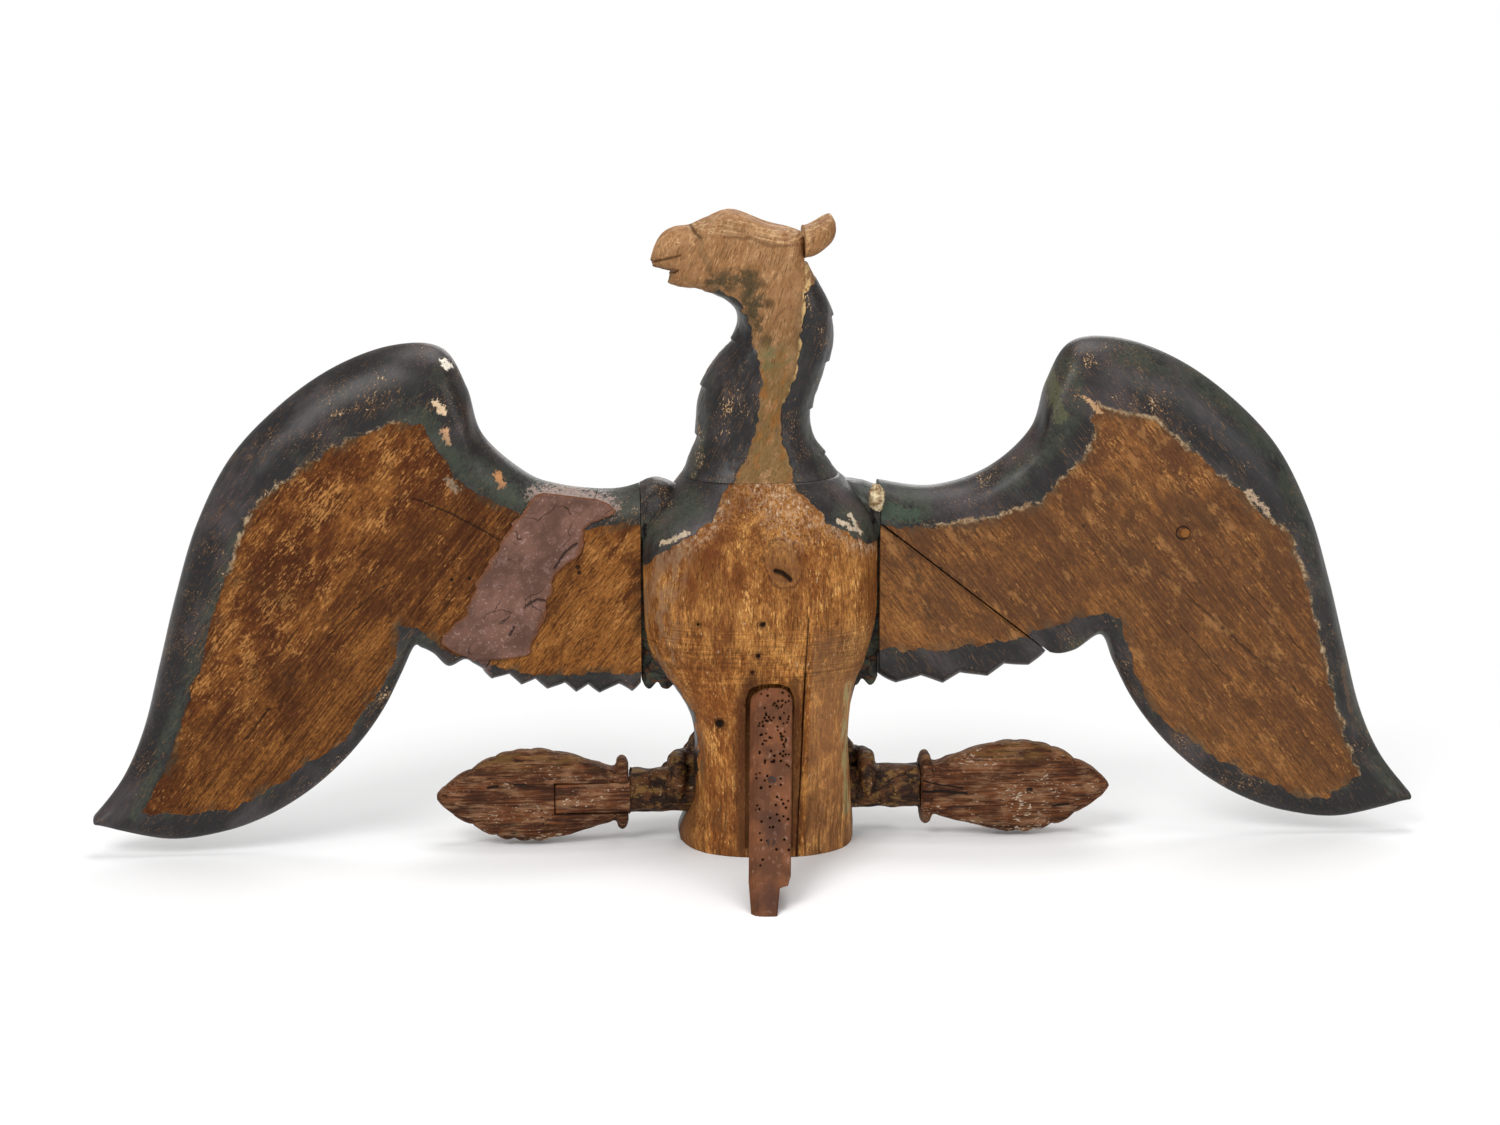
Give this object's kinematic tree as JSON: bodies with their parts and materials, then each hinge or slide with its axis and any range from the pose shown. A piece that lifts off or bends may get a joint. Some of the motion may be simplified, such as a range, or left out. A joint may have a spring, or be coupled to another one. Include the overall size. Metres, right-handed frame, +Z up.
{
  "type": "carved eagle ornament",
  "caption": "Carved and painted softwood eagle with spread wings and turned head, standing on a crossbar with leaf ends and propped by a leaning strut at the back.",
  "frame": {"origin": "on the flat underside of the tail block, in the plane of the wings' flat backs", "axes": "+X along the wings, towards the right of someone who looks at the flat back; +Y out of the carved front; +Z up"},
  "size_m": [1.23, 0.3516, 0.5895],
  "materials": {
    "body_wood": "bare amber softwood, scuffed",
    "head_wood": "bare light softwood",
    "wing_wood": "bare brown softwood with a painted border",
    "painted_wood": "worn black-green paint on softwood",
    "putty": "hard matt filler",
    "gesso": "chalky white filler",
    "bar_wood": "dark stained wood with ochre paint remains",
    "leaf_wood": "dark red-brown weathered wood",
    "strut_wood": "red-brown stained batten with beetle holes",
    "dowel_wood": "bare pale wood",
    "iron": "rusted hand-made nail"
  },
  "bodies": {
    "root": {"body_core": "body_wood", "body_side_board": "body_wood", "side_board_dowel_lower": "dowel_wood", "side_board_dowel_upper": "dowel_wood", "head_and_neck": "head_wood", "neck_dowel": "dowel_wood", "crest": "head_wood", "crest_peg": "dowel_wood", "left_wing_blade": "wing_wood", "left_wing_root": "wing_wood", "right_wing_blade": "wing_wood", "right_wing_root": "wing_wood", "left_wing_putty": "putty", "right_wing_plug": "dowel_wood", "right_joint_filler": "gesso", "crossbar": "bar_wood", "left_leaf_end": "leaf_wood", "right_leaf_end": "leaf_wood", "left_foot": "bar_wood", "right_foot": "bar_wood", "back_strut": "strut_wood", "left_wing_tongue": "painted_wood", "right_wing_tongue": "painted_wood", "left_foot_dowel": "dowel_wood", "right_foot_dowel": "dowel_wood", "left_tongue_nail_lower": "iron", "left_tongue_nail_upper": "iron", "right_tongue_nail_lower": "iron", "right_tongue_nail_upper": "iron", "left_scarf_dowel_lower": "dowel_wood", "left_scarf_dowel_upper": "dowel_wood", "right_scarf_dowel_lower": "dowel_wood", "right_scarf_dowel_upper": "dowel_wood", "strut_nail_upper": "iron", "strut_nail_lower": "iron"}
  },
  "joints": []
}
